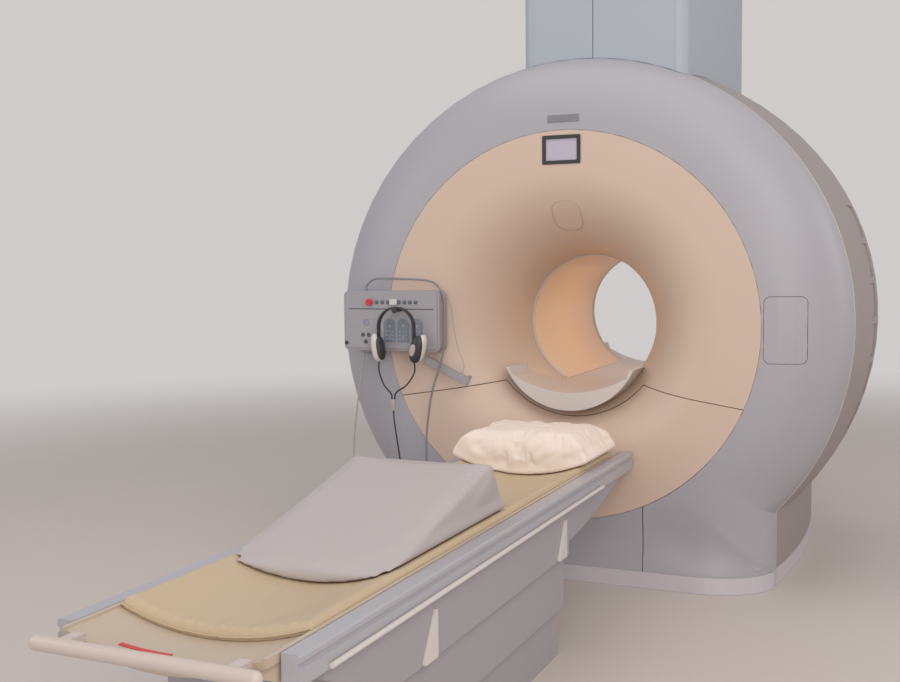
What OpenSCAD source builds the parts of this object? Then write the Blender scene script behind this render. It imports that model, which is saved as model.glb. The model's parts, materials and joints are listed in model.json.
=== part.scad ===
// Whole-body magnet scanner with its patient table. Millimetres, +Z up, +Y into the bore,
// origin on the floor under the middle of the bore.

/* [Magnet covers] */
// Height of the bore axis above the floor
axis_h = 1070; // [1040:5:1100]
// Depth of the covers from front face to rear face
depth = 1750; // [1650:10:1900]
// Free diameter of the patient bore
bore_d = 600; // [580:5:620]
// Radius of the seam between the front disc and the ring cover
disc_r = 807; // [780:1:830]
// Radius of the ring cover where it meets the side covers
ring_r = 1131; // [1110:1:1150]
// How far the ring cover runs back from the front face
ring_depth = 235; // [200:5:260]
// How far the side covers bulge out past the ring cover
belly = 44; // [30:1:55]
// Wall thickness of the moulded covers
skin = 12; // [10:1:16]
// Half width of the covers where they meet the floor
foot_x = 837; // [815:1:860]
// Width of the rounded corners of the foot, seen from above
corner_w = 287; // [240:1:320]
// Height of the metal plinth
plinth_h = 68; // [60:1:80]
// Wall thickness of the plinth
plinth_t = 14; // [10:1:20]
// Gap left open at the seams between covers
seam = 3; // [2:0.5:4]
// Half width of the middle panel at the foot of the ring cover
seam_x = 342; // [320:1:360]
// Width of the bright trim between ring cover and side cover
trim_w = 8; // [6:1:12]
// How far the trim stands out of the covers
trim_out = 3; // [2:0.5:5]

/* [Funnel and bore] */
// Radius at which the disc starts to turn into the bore
mouth_r = 650; // [620:5:680]
// Depth of the front funnel
funnel_d = 480; // [450:5:500]
// Depth of the rear funnel
rear_funnel_d = 330; // [300:5:360]
// Wall thickness of the bore liner
liner_t = 12; // [10:1:16]
// Angle from straight down at which the white rim ends beside the bridge
rim_a = 28; // [27.6:0.2:34]
// Length of the white rim at the mouth of the liner
rim_len = 16; // [10:1:24]
// How far the white rim stands into the funnel
rim_in = 5; // [3:0.5:6]
// Radius of the round part of the seam under the bore
low_seam_r = 393; // [385:1:400]
// Half distance between the two kinks of that seam
kink_x = 305; // [290:1:320]
// Fall of that seam from its kinks to the edge of the disc
seam_fall = 81; // [60:1:100]

/* [Magnet inside] */
// Wall of the body coil round the liner
body_coil_t = 33; // [25:1:38]
// Outer radius of the gradient coil
gradient_r = 450; // [430:1:460]
// Half length of the gradient coil
gradient_half = 520; // [480:5:540]
// Outer radius of the cryostat
cryo_r = 900; // [880:5:930]
// Half length of the cryostat
cryo_half = 680; // [640:5:690]
// Rounding of the cryostat rim
cryo_rim = 60; // [40:5:80]
// Thickness of the floor plate under the magnet
floor_t = 20; // [16:1:30]
// Thickness of each saddle under the cryostat
saddle_t = 40; // [30:1:60]
// Distance from the middle to each saddle
saddle_y = 420; // [360:5:460]
// Radius of the service neck on top of the cryostat
neck_r = 150; // [120:5:180]
// Height of the service neck above the bore axis
neck_h = 1480; // [1400:5:1520]
// Radius of the quench pipe
pipe_r = 70; // [50:5:90]

/* [Service tower] */
// Left edge of the tower
tower_x0 = -241; // [-260:1:-220]
// Right edge of the tower
tower_x1 = 470; // [450:1:490]
// Place of the seam between the two front panels
tower_seam_x = 74; // [40:1:110]
// Distance from the front face of the covers to the tower
tower_in = 200; // [150:1:205]
// Depth of the tower
tower_d = 1356; // [1300:1:1400]
// Height of the tower top above the floor
tower_top = 2700; // [2620:5:2750]
// Rounding of the tower's upright corners
tower_rad = 47; // [35:1:60]
// Thickness of the tower lid
cap_t = 14; // [10:1:20]

/* [Fittings on the front] */
// Width of the display bezel
display_w = 164; // [150:1:180]
// Height of the display bezel
display_h = 118; // [105:1:130]
// Height of the display's middle above the bore axis
display_z = 728; // [715:1:735]
// Width of the bezel's frame
display_frame = 15; // [10:1:20]
// Radius of the round laser window
window_r = 60; // [50:1:65]
// Distance of the window's middle from the bore axis
window_at = 460; // [445:1:475]
// Inner edge of the access panels
panel_x0 = 815; // [812:1:822]
// Outer edge of the access panels
panel_x1 = 976; // [960:1:985]
// Bottom of the access panels
panel_z0 = 935; // [920:1:950]
// Height of the access panels
panel_h = 261; // [240:1:280]
// Corner rounding of the access panels
panel_rad = 26; // [15:1:35]

/* [Bridge in the bore] */
// How far the bridge starts behind the front face
bridge_in = 80; // [60:1:120]
// Radius of the bridge's underside at its nose
bridge_r = 311; // [305:1:320]
// Height of the centre of that radius
bridge_cz = 1017; // [1010:1:1025]
// Height of the bridge's ends
bridge_top = 886; // [875:1:895]
// Radius of the trough the tabletop runs in
trough_r = 481; // [475:1:490]
// Height of the bottom of that trough
trough_z = 783; // [775:1:795]
// Half width of the trough
trough_x = 250; // [240:1:255]

/* [Side pockets] */
// Number of pockets in each side cover
pockets = 6; // [4:1:8]
// Angle each pocket takes round the cover
pocket_a = 7.2; // [6:0.2:7.6]
// Angle from one pocket to the next
pocket_pitch = 8.6; // [8.2:0.2:9]
// Distance of the pockets behind the ring cover
pocket_in = 70; // [50:5:260]
// Length of the pockets
pocket_len = 560; // [450:5:620]
// Depth of the pockets
pocket_d = 8; // [5:0.5:9]

/* [Control panel] */
// Middle of the control panel, left of the bore
ctl_x = -755; // [-770:1:-740]
// Height of its middle
ctl_z = 1087; // [1070:1:1100]
// Width of the control panel
ctl_w = 465; // [440:1:480]
// Height of the control panel
ctl_h = 262; // [250:1:280]
// Depth of the control panel
ctl_d = 80; // [65:1:95]
// Corner rounding of the control panel
ctl_rad = 24; // [15:1:35]
// Thickness of its face plate
face_t = 3; // [2:0.5:4]
// Radius of the stop button
stop_r = 15; // [12:0.5:18]
// Travel of the stop button
stop_travel = 5; // [3:0.5:6]
// Radius of the small round keys
key_r = 9; // [7:0.5:10]
// Number of small round keys
keys = 8; // [6:1:9]
// Spacing of the small round keys
key_pitch = 27; // [25:0.5:28]
// Height the keys and keypads stand out of the face
key_out = 2; // [1:0.5:3]
// Width of one arched keypad
pad_w = 56; // [50:1:60]
// Height of one arched keypad
pad_h = 104; // [90:1:112]
// Spacing of the arched keypads
pad_pitch = 66; // [62:1:70]

/* [Headset] */
// Radius of the headset's band
band_r = 82; // [75:1:88]
// Width of the band
band_w = 24; // [18:1:30]
// Thickness of the band
band_t = 6; // [4:0.5:8]
// Radius of an ear cup
cup_r = 38; // [34:1:42]
// Depth of an ear cup
cup_t = 34; // [28:1:40]
// Length of the peg the headset hangs on
hook_len = 58; // [52:1:64]
// Radius of that peg
hook_r = 8; // [6:0.5:10]
// Play of the headset behind the peg's end
band_back = 2; // [1:0.5:4]

/* [Patient table] */
// Gap between the table's end and the front face
table_gap = 30; // [20:1:45]
// Length of the tabletop
top_len = 2590; // [2500:10:2650]
// Half width of the table over its rails
rail_x = 312; // [300:1:320]
// Height of the rail tops with the table down
rail_z = 567; // [555:1:580]
// Height of a side rail
rail_h = 70; // [60:1:80]
// Width of a side rail
rail_w = 46; // [40:1:50]
// Height of the tabletop's lowest line with the table down
top_z = 515; // [508:1:522]
// Radius of the tabletop's hollow
top_r = 700; // [660:5:760]
// Thickness of the tabletop
top_t = 18; // [14:1:22]
// Half width of the tabletop
top_x = 262; // [254:1:263]
// Half width of the mattress
mat_x = 248; // [236:1:250]
// Thickness of the mattress
mat_t = 28; // [24:1:36]
// Travel of the lift
lift = 360; // [330:5:365]
// Share of that travel the middle shroud makes
mid_share = 0.65; // [0.64:0.01:0.7]
// Half width of the upper shroud
shroud_x = 302; // [296:1:306]
// Distance from the front face to the gantry end of the shroud
shroud_head = 837; // [800:1:870]
// Length of the upper shroud at its foot
shroud_len = 1420; // [1350:10:1480]
// Height of the upper shroud's lower edge with the table down
shroud_z = 345; // [335:1:355]
// Height of the middle shroud's lower edge with the table down
mid_z = 163; // [155:1:170]
// Step from one shroud to the next
shroud_step = 16; // [14:1:20]
// Wall thickness of the shrouds
shroud_t = 5; // [4:0.5:7]
// Thickness of the base plate
base_t = 14; // [12:1:18]
// Spacing of the anchor holes across the table
anchor_x = 400; // [360:5:420]
// Spacing of the anchor holes along the table
anchor_y = 1100; // [1000:10:1160]
// Radius of the anchor holes
anchor_r = 8; // [6:0.5:10]
// Side of the outer lift columns
column_w = 170; // [150:5:180]
// Radius of the handle bar
handle_r = 17; // [14:0.5:20]
// Half length of the handle bar
handle_x = 272; // [260:1:280]
// Distance of the handle from the tabletop's end
handle_out = 62; // [50:1:75]
// Radius of the long grab rails
grab_r = 7; // [5:0.5:9]
// Base of a side fin
fin_w = 75; // [65:1:85]
// Height of a side fin
fin_h = 124; // [110:1:126]
// Thickness of a side fin
fin_t = 10; // [8:1:14]

/* [Positioning aids] */
// Half width of the wedge
wedge_x = 240; // [220:1:250]
// Length of the wedge's slope
wedge_len = 770; // [700:10:820]
// Length of the wedge's back
wedge_back = 160; // [120:5:200]
// Height of the wedge
wedge_h = 200; // [180:1:215]
// Distance of the wedge's front edge from the front face
wedge_at = 2150; // [2100:10:2200]
// Length of the pillow
pillow_len = 430; // [380:5:460]
// Thickness of the pillow
pillow_t = 130; // [110:1:145]

/* [Hidden] */
$fn = 96;
yf = -depth / 2;
yr = depth / 2;
bore_r = bore_d / 2;
liner_r = bore_r + liner_t;
kink_a = asin(foot_x / ring_r);
kink_z = axis_h - ring_r * cos(kink_a);
// angle by which swept covers run into the foot corners they are moulded with
lap = 0.05;
side_half = depth / 2 - ring_depth - trim_w;
pitch_n = 8;
// outlets of the hanging cords on the plinth
outlet_x = [-430, -480, -540];
outlet_y = yf - 30;
outlet_z = 44;
// cord routes, from the far end to the outlet
lead_d = 7;
cable_d = 9;
wire_d = 4;
lead_main = [[-728, -996, 700], [-724, -996, 650], [-705, -994, 520], [-690, -985, 400], [-655, -970, 260],
  [-590, -950, 160], [-515, -925, 110], [-480, -905, 75], [-480, yf - 30, 44]];
lead_left = [[-792, -1002, 915], [-792, -1002, 870], [-770, -1000, 810], [-738, -998, 775], [-734, -996, 750]];
lead_right = [[-622, -1002, 915], [-622, -1002, 870], [-660, -1000, 815], [-712, -998, 780], [-722, -996, 750]];
cable_route = [[-895, -915, 1218], [-895, -915, 1227], [-895, -915, 1238], [-866, -916, 1265],
  [-820, -917, 1272], [-719, -920, 1270],
  [-590, -926, 1262], [-538, -930, 1236], [-510, -934, 1180], [-508, -935, 1100], [-508, -935, 1010],
  [-524, -935, 920], [-569, -933, 789], [-597, -929, 640], [-606, -925, 500], [-595, -920, 350],
  [-545, -912, 210], [-470, -906, 130], [-430, -905, 80], [-430, yf - 30, 44]];
wire_route = [[-522.5, -905, 1190], [-505, -905, 1186], [-490, -905, 1150], [-480, -905, 1080], [-462, -905, 984],
  [-436, -905, 915], [-432, -905, 886], [-443.9, -905, 860.1]];
pale_route = [[-912, -915, 956], [-912, -915, 930], [-930, -915, 830], [-954, -915, 680], [-973, -915, 497],
  [-960, -915, 350], [-880, -915, 220], [-740, -912, 150], [-600, -908, 115], [-540, -905, 85], [-540, yf - 30, 44]];
low_kink_z = axis_h - sqrt(low_seam_r * low_seam_r - kink_x * kink_x);
head_y = yf - table_gap;
foot_y = head_y - top_len;
ped_head = yf - shroud_head;
ped_foot = ped_head - shroud_len;

// moulded cover surface as a grid of two skins, A outside and B inside
function flat(v) = [for (a = v) for (b = a) b];
module two_skins(A, B) {
  ni = len(A); nj = len(A[0]);
  N = ni * nj;
  m = floor(ni / 2); k = floor(nj / 2);
  du = A[m][k] - A[m - 1][k]; dv = A[m][k] - A[m][k - 1];
  out = cross(du, dv) * (A[m][k] - B[m][k]) > 0;
  idx = function(s, i, j) s * N + i * nj + j;
  quads = concat(
    [for (i = [0:ni - 2], j = [0:nj - 2])
      [idx(0, i, j), idx(0, i, j + 1), idx(0, i + 1, j + 1), idx(0, i + 1, j)]],
    [for (i = [0:ni - 2], j = [0:nj - 2])
      [idx(1, i, j), idx(1, i + 1, j), idx(1, i + 1, j + 1), idx(1, i, j + 1)]],
    [for (j = [0:nj - 2]) [idx(0, 0, j), idx(1, 0, j), idx(1, 0, j + 1), idx(0, 0, j + 1)]],
    [for (j = [0:nj - 2]) [idx(0, ni - 1, j), idx(0, ni - 1, j + 1), idx(1, ni - 1, j + 1),
      idx(1, ni - 1, j)]],
    [for (i = [0:ni - 2]) [idx(0, i, 0), idx(0, i + 1, 0), idx(1, i + 1, 0), idx(1, i, 0)]],
    [for (i = [0:ni - 2]) [idx(0, i, nj - 1), idx(1, i, nj - 1), idx(1, i + 1, nj - 1),
      idx(0, i + 1, nj - 1)]]);
  tris = [for (q = quads) each [[q[0], q[1], q[2]], [q[0], q[2], q[3]]]];
  polyhedron(points = concat(flat(A), flat(B)),
    faces = out ? tris : [for (t = tris) [t[0], t[2], t[1]]]);
}

// profiles turned about the bore axis, as [radius, y], swept from angle a0 to a1 from straight down
module about_axis() { translate([0, 0, axis_h]) rotate([-90, 0, 0]) children(); }
module turned(pts) { about_axis() rotate_extrude($fn = 192) polygon(pts); }
module swept(a0, a1, pts) {
  about_axis() rotate([0, 0, 90 - a1]) rotate_extrude(angle = a1 - a0, $fn = 240) polygon(pts);
}
module tube(r0, r1, y0, y1) { turned([[r0, y0], [r1, y0], [r1, y1], [r0, y1]]); }
module both_sides() { children(); mirror([1, 0, 0]) children(); }
function rev(v) = [for (i = [len(v) - 1:-1:0]) v[i]];

// quarter-ellipse profile of the ring cover, from the seam at the disc outwards
ring_r0 = disc_r + seam / 2;
function ring_out(n) = [for (i = [0:n]) let (t = 90 * i / n)
  [ring_r0 + (ring_r - ring_r0) * sin(t), ring_depth * (1 - cos(t))]];
function ring_in(n) = [for (i = [0:n]) let (t = 90 * i / n)
  [ring_r0 + (ring_r - skin - ring_r0) * sin(t), skin + (ring_depth - skin) * (1 - cos(t))]];
function shifted(v, y0, s) = [for (p = v) [p[0], y0 + s * p[1]]];
function belly_at(y) = belly * (1 - (y / side_half) * (y / side_half));
function side_line(o, n) = [for (i = [0:n]) let (y = side_half * (2 * i / n - 1))
  [ring_r - o + belly_at(y), y]];

// depth of the cover's front surface behind its front face, over the foot corners
function quarter(u) = 1 - sqrt(max(0, 1 - min(1, max(0, u)) * min(1, max(0, u))));
function smooth(u) = let (c = min(1, max(0, u))) c * c * (3 - 2 * c);
function ring_y(x, z) = quarter((norm([x, z - axis_h]) - ring_r0) / (ring_r - ring_r0));
function foot_yy(x) = quarter((abs(x) - foot_x + corner_w) / corner_w);
function front_y(x, z, q, m) = let (w = smooth((z - plinth_h) / (kink_z - plinth_h)), r = ring_y(x, z))
  w * (r + m * (q - r)) + (1 - w) * foot_yy(x);
function on_disc(a) = [ring_r0 * sin(a), axis_h - ring_r0 * cos(a)];
function skin_line(P, Q, o, y0, s, n, m = 0) = [for (j = [0:n]) let (
    k = sin(90 * j / n), x = P[0] + k * (Q[1][0] - P[0]), z = P[1] + k * (Q[1][1] - P[1]),
    xo = P[0] + k * (Q[0][0] - P[0]), zo = P[1] + k * (Q[0][1] - P[1]),
    f = front_y(xo, zo, 1 - cos(90 * j / n), m))
  o == 0 ? [xo, y0 + s * f * ring_depth, zo] : [x, y0 + s * (skin + (ring_depth - skin) * f), z]];
// end points of the grid lines on the outline: [outer, inner]
function foot_end(u) = u < 0.5
  ? let (x = seam_x + seam / 2 + (foot_x - seam_x - seam / 2) * sin(180 * u),
         q = (foot_x - skin - seam_x) / (foot_x - seam_x))
    [[x, plinth_h], [seam_x + seam / 2 + (x - seam_x - seam / 2) * q, plinth_h]]
  : let (v = 2 * u - 1)
    [[foot_x, plinth_h + (kink_z - plinth_h) * v],
     [foot_x - skin + v * skin * (1 - sin(kink_a)), plinth_h + v * (kink_z + skin * cos(kink_a) - plinth_h)]];
corner_n = 20;
disc_a0 = asin((seam_x + seam / 2) / disc_r);
function corner_skin(o, y0, s) = [for (i = [0:corner_n]) let (u = i / corner_n)
  skin_line(on_disc(disc_a0 + (kink_a - disc_a0) * u), foot_end(u), o, y0, s, pitch_n, smooth(4 * u))];
function ring_row(a, o, y0, s) = [for (p = o == 0 ? ring_out(pitch_n) : ring_in(pitch_n))
  [p[0] * sin(a), y0 + s * p[1], axis_h - p[0] * cos(a)]];
function mirror_rows(v) = [for (r = rev(v)) [for (p = r) [-p[0], p[1], p[2]]]];
ring_rows = 44;
// both foot corners and the ring between them as one sheet
function ring_skin(o, y0, s) = let (c = corner_skin(o, y0, s)) concat(c,
  [for (i = [1:ring_rows - 1]) ring_row(kink_a + (360 - 2 * kink_a) * i / ring_rows, o, y0, s)], mirror_rows(c));
module ring_cover(y0, s) { two_skins(ring_skin(0, y0, s), ring_skin(1, y0, s)); }
module foot_panel(y0, s) {
  hx = seam_x - seam / 2;
  rows = function(o) [for (i = [0:12]) let (x = hx * (i / 6 - 1),
    P = [x, axis_h - sqrt(ring_r0 * ring_r0 - x * x)]) skin_line(P, [[x, plinth_h], [x, plinth_h]], o, y0, s, 6)];
  two_skins(rows(0), rows(1));
}
module rounded_slab(x0, x1, z0, z1, rad, y0, y1) {
  translate([0, y1, 0]) rotate([90, 0, 0]) linear_extrude(y1 - y0) {
    translate([x0 + rad, z0]) square([x1 - x0 - 2 * rad, z1 - z0]);
    translate([x0, z0 + rad]) square([x1 - x0, z1 - z0 - 2 * rad]);
    for (x = [x0 + rad, x1 - rad], z = [z0 + rad, z1 - rad]) translate([x, z]) circle(rad);
  }
}
module access_outline(o) {
  rounded_slab(panel_x0 + o, panel_x1 - o, panel_z0 + o, panel_z0 + panel_h - o, panel_rad - o,
    yf - 5, yf + ring_depth);
}
module ring_upper_front() {
  swept(kink_a - lap, 360 - kink_a + lap,
    concat(shifted(ring_out(pitch_n), yf, 1), rev(shifted(ring_in(pitch_n), yf, 1))));
}
module front_ring_cover() {
  color("lightsteelblue") difference() {
    ring_cover(yf, 1);
    both_sides() access_outline(0);
  }
}
module access_panels() {
  color("gainsboro") both_sides() intersection() {
    ring_upper_front();
    union() {
      access_outline(seam / 2);
      for (z = [panel_z0 + 70, panel_z0 + panel_h - 70]) translate([panel_x0 + 0.3, yf - 5, z - 5])
        cube([panel_x1 - panel_x0 - 0.6, ring_depth + 5, 10]);
    }
  }
}
module lower_front_cover() { color("lightsteelblue") foot_panel(yf, 1); }
module rear_ring_cover() {
  color("lightsteelblue") union() { ring_cover(yr, -1); foot_panel(yr, -1); }
}

// front and rear funnel: flat disc, then a quarter ellipse down to the bore
function funnel_line(o, fd, n) = concat([[disc_r, o]], [for (i = [0:n]) let (t = 90 * i / n)
  [mouth_r - (mouth_r - bore_r) * sin(t) + (o > 0 ? o * sin(t) : 0), o + (fd - o) * (1 - cos(t))]]);
module funnel(y0, s, fd) {
  turned(concat(shifted(funnel_line(0, fd, 18), y0, s), rev(shifted(funnel_line(skin, fd, 18), y0, s))));
}
module low_area(o) {
  difference() {
    translate([0, yf + funnel_d + 10, 0]) rotate([90, 0, 0]) linear_extrude(funnel_d + 20)
      polygon([[-disc_r - 20, -100], [disc_r + 20, -100], [disc_r + 20, low_kink_z - seam_fall - o],
        [kink_x, low_kink_z - o], [-kink_x, low_kink_z - o], [-disc_r - 20, low_kink_z - seam_fall - o]]);
    tube(0, low_seam_r + o, yf - 30, yf + funnel_d + 30);
  }
}
module display_hole() {
  translate([-display_w / 2 + display_frame / 2, yf - 1, axis_h + display_z - display_h / 2 + display_frame / 2])
    cube([display_w - display_frame, skin + 2, display_h - display_frame]);
}
window_t = asin((mouth_r - window_at) / (mouth_r - bore_r));
window_y = yf + funnel_d * (1 - cos(window_t));
window_tilt = atan(funnel_d * sin(window_t) / ((mouth_r - bore_r) * cos(window_t)));
module at_window() { translate([0, window_y, axis_h + window_at]) rotate([90 - window_tilt, 0, 0]) children(); }
module funnel_cover() {
  color("wheat") difference() {
    funnel(yf, 1, funnel_d);
    low_area(0);
    display_hole();
    at_window() translate([0, 0, -9]) cylinder(r = window_r, h = 40);
  }
}
module lower_funnel_cover() { color("wheat") intersection() { funnel(yf, 1, funnel_d); low_area(seam); } }
module rear_funnel_cover() { color("wheat") funnel(yr, -1, rear_funnel_d); }
module laser_window() {
  color("linen") at_window() difference() {
    translate([0, 0, -9]) cylinder(r = window_r, h = 14);
    translate([-2, -16, 2]) cube([4, 32, 4]);
  }
}
module display_bezel() {
  z0 = axis_h + display_z - display_h / 2;
  color("dimgray") difference() {
    union() {
      rounded_slab(-display_w / 2, display_w / 2, z0, z0 + display_h, 6, yf - 4, yf);
      translate([-display_w / 2 + display_frame / 2, yf, z0 + display_frame / 2])
        cube([display_w - display_frame, skin, display_h - display_frame]);
    }
    translate([-display_w / 2 + display_frame, yf - 5, z0 + display_frame])
      cube([display_w - 2 * display_frame, skin + 1, display_h - 2 * display_frame]);
  }
}
module display_screen() {
  z0 = axis_h + display_z - display_h / 2;
  color("lavender") translate([-display_w / 2 + display_frame, yf + 1, z0 + display_frame])
    cube([display_w - 2 * display_frame, skin - 5, display_h - 2 * display_frame]);
}

// side covers: barrel over the magnet, upright foot, pockets, cut-out under the tower
side_rows = 26;
// upright foot up to where it meets the bellied drum, then the drum up to its top
function side_skin(o) = let (
    ys = [for (j = [0:12]) side_half * (j / 6 - 1)],
    xs = [for (y = ys) foot_x - o + belly_at(y)],
    rs = [for (y = ys) ring_r - o + belly_at(y)])
  concat([[for (j = [0:12]) [xs[j], ys[j], plinth_h]]],
    [for (i = [0:side_rows]) [for (j = [0:12]) let (a0 = asin(xs[j] / rs[j]),
      a = a0 + (180 - lap - a0) * i / side_rows) [rs[j] * sin(a), ys[j], axis_h - rs[j] * cos(a)]]]);
module side_shell() { two_skins(side_skin(0), side_skin(skin)); }
module pocket_cuts() {
  for (i = [0:pockets - 1]) let (a = 90 - (pockets - 1) * pocket_pitch / 2 - pocket_a / 2 + i * pocket_pitch)
    swept(a, a + pocket_a, [[ring_r + belly - pocket_d, -side_half + pocket_in],
      [ring_r + belly + 30, -side_half + pocket_in], [ring_r + belly + 30, -side_half + pocket_in + pocket_len],
      [ring_r + belly - pocket_d, -side_half + pocket_in + pocket_len]]);
}
module tower_room() {
  translate([tower_x0 + skin, yf + tower_in + skin, axis_h])
    cube([tower_x1 - tower_x0 - 2 * skin, tower_d - 2 * skin, tower_top - axis_h]);
}
module side_cover_right() {
  color("tan") difference() {
    side_shell();
    pocket_cuts();
    tower_room();
  }
}
module side_cover_left() {
  color("tan") difference() {
    mirror([1, 0, 0]) side_shell();
    mirror([1, 0, 0]) pocket_cuts();
    tower_room();
  }
}
module side_trim(y0) {
  color("silver") translate([0, y0 + trim_w, 0]) rotate([90, 0, 0]) linear_extrude(trim_w) difference() {
    union() {
      translate([0, axis_h]) circle(ring_r + trim_out, $fn = 240);
      translate([-foot_x - trim_out, 0]) square([2 * (foot_x + trim_out), kink_z]);
    }
    translate([0, axis_h]) circle(ring_r - skin, $fn = 240);
    translate([-foot_x + skin, -1]) square([2 * (foot_x - skin), kink_z + 1]);
    translate([-ring_r, -ring_r]) square([2 * ring_r, ring_r]);
  }
}
module side_trims() { side_trim(yf + ring_depth); side_trim(yr - ring_depth - trim_w); }

// metal plinth under the covers
function plinth_edge(o, n) = [for (i = [0:n]) let (t = 90 * i / n)
  [foot_x - corner_w + (corner_w - o) * sin(t), o + (ring_depth - o) * (1 - cos(t))]];
function mirrored(v) = [for (i = [len(v) - 1:-1:0]) [-v[i][0], v[i][1]]];
module plinth_end(y0, s) {
  outer = concat(mirrored(plinth_edge(0, 10)), plinth_edge(0, 10));
  inner = concat(mirrored(plinth_edge(plinth_t, 10)), plinth_edge(plinth_t, 10));
  color("slategray") linear_extrude(plinth_h)
    polygon(shifted(concat(outer, rev(inner)), y0, s));
}
// the front plinth carries the low outlet box of the hanging cords, with a gland for each
module plinth_front() {
  plinth_end(yf, 1);
  color("slategray") {
    translate([-570, yf - 50, 0]) cube([170, 55, 40]);
    for (x = outlet_x) translate([x, outlet_y, 0]) cylinder(r = 10, h = outlet_z);
  }
}
module plinth_rear() { plinth_end(yr, -1); }
function side_edge(o) = [for (i = [0:12]) let (y = side_half * (2 * i / 12 - 1)) [foot_x - o + belly_at(y), y]];
module plinth_sides() {
  color("slategray") both_sides() linear_extrude(plinth_h) polygon(concat(side_edge(0), rev(side_edge(plinth_t))));
}

// magnet inside the covers
module floor_frame() {
  color("darkslategray") {
    linear_extrude(floor_t) intersection() {
      polygon(concat(side_edge(plinth_t), mirrored(side_edge(plinth_t))));
      translate([-foot_x - belly, -saddle_y - 60]) square([2 * (foot_x + belly), 2 * saddle_y + 120]);
    }
    difference() {
      for (s = [-1, 1]) translate([-cryo_r * 0.6, s * saddle_y - saddle_t / 2, floor_t])
        cube([cryo_r * 1.2, saddle_t, axis_h - cryo_r * 0.7]);
      tube(0, cryo_r, -cryo_half, cryo_half);
    }
  }
}
module cryostat() {
  c = cryo_rim;
  color("silver") turned([[gradient_r, -cryo_half], [cryo_r - c, -cryo_half], [cryo_r - c * 0.3, -cryo_half + c * 0.3],
    [cryo_r, -cryo_half + c], [cryo_r, cryo_half - c], [cryo_r - c * 0.3, cryo_half - c * 0.3],
    [cryo_r - c, cryo_half], [gradient_r, cryo_half]]);
}
module gradient_coil() { color("peru") tube(liner_r + body_coil_t, gradient_r, -gradient_half, gradient_half); }
module body_coil() { color("goldenrod") tube(liner_r, liner_r + body_coil_t, -gradient_half + 140, gradient_half - 140); }
module bore_liner() { color("oldlace") tube(bore_r, liner_r, yf + funnel_d, yr - rear_funnel_d); }
module bore_rim() {
  color("white") swept(rim_a, 360 - rim_a, [[bore_r - rim_in, yf + funnel_d - rim_len / 2], [bore_r, yf + funnel_d - rim_len / 2],
    [bore_r, yf + funnel_d + rim_len], [bore_r - rim_in, yf + funnel_d + rim_len]]);
}
module service_neck() {
  color("silver") difference() {
    translate([(tower_x0 + tower_x1) / 2, 0, axis_h]) {
      cylinder(r = neck_r, h = neck_h);
      translate([0, 0, neck_h]) cylinder(r = pipe_r, h = tower_top - cap_t - axis_h - neck_h);
    }
    tube(0, cryo_r, -cryo_half, cryo_half);
  }
}

// service tower on top of the covers
module tower_plan(o) {
  x0 = tower_x0 + o; x1 = tower_x1 - o; y0 = yf + tower_in + o; y1 = yf + tower_in + tower_d - o;
  r = tower_rad - o;
  translate([x0 + r, y0]) square([x1 - x0 - 2 * r, y1 - y0]);
  translate([x0, y0 + r]) square([x1 - x0, y1 - y0 - 2 * r]);
  for (x = [x0 + r, x1 - r], y = [y0 + r, y1 - r]) translate([x, y]) circle(r);
}
module tower_shell(x0, x1, y0, y1) {
  difference() {
    translate([0, 0, axis_h]) linear_extrude(tower_top - cap_t - axis_h) intersection() {
      difference() { tower_plan(0); tower_plan(skin); }
      translate([x0, y0]) square([x1 - x0, y1 - y0]);
    }
    turned(concat([[0, yf]], shifted(ring_out(pitch_n), yf, 1), [[ring_r + trim_out, yf + ring_depth],
      [ring_r + trim_out, yf + ring_depth + trim_w]], side_line(0, 12), [[ring_r + trim_out, yr - ring_depth - trim_w],
      [ring_r + trim_out, yr - ring_depth]], rev(shifted(ring_out(pitch_n), yr, -1)), [[0, yr]]));
  }
}
tower_y0 = yf + tower_in;
tower_y1 = yf + tower_in + tower_d;
module tower_front_left() {
  color("aliceblue") tower_shell(tower_x0 + tower_rad, tower_seam_x - seam / 2, tower_y0, tower_y0 + skin);
}
module tower_front_right() {
  color("lavender") tower_shell(tower_seam_x + seam / 2, tower_x1 - tower_rad, tower_y0, tower_y0 + skin);
}
module tower_side_right() {
  color("lavender") tower_shell(tower_x1 - tower_rad, tower_x1, tower_y0, tower_y1);
}
module tower_side_left() { color("lavender") tower_shell(tower_x0, tower_x0 + tower_rad, tower_y0, tower_y1); }
module tower_rear() {
  color("lavender") tower_shell(tower_x0 + tower_rad, tower_x1 - tower_rad, tower_y1 - skin, tower_y1);
}
module tower_cap() { color("lavender") translate([0, 0, tower_top - cap_t]) linear_extrude(cap_t) tower_plan(0); }

// bridge: trough that carries the tabletop through the bore
module bridge() {
  y0 = yf + bridge_in; y1 = yr - 120;
  color("whitesmoke") intersection() {
    translate([0, y1, 0]) rotate([90, 0, 0]) linear_extrude(y1 - y0) difference() {
      intersection() {
        translate([0, bridge_cz]) circle(bridge_r);
        translate([-bridge_r, 0]) square([2 * bridge_r, bridge_top]);
      }
      intersection() {
        translate([0, trough_z + trough_r]) circle(trough_r);
        translate([-trough_x, 0]) square([2 * trough_x, axis_h]);
      }
      polygon([[-trough_x, trough_z + 66], [trough_x, trough_z + 66], [trough_x + 16, bridge_top + 1],
        [-trough_x - 16, bridge_top + 1]]);
    }
    turned(concat([[0, y0 - 1], [mouth_r, y0 - 1]], [for (p = funnel_line(0, funnel_d, 18)) if (p[1] > bridge_in)
      [p[0], yf + p[1]]], [for (p = rev(funnel_line(0, rear_funnel_d, 18))) if (p[1] > 119) [p[0], yr - p[1]]],
      [[0, y1 + 1]]));
  }
}

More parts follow.
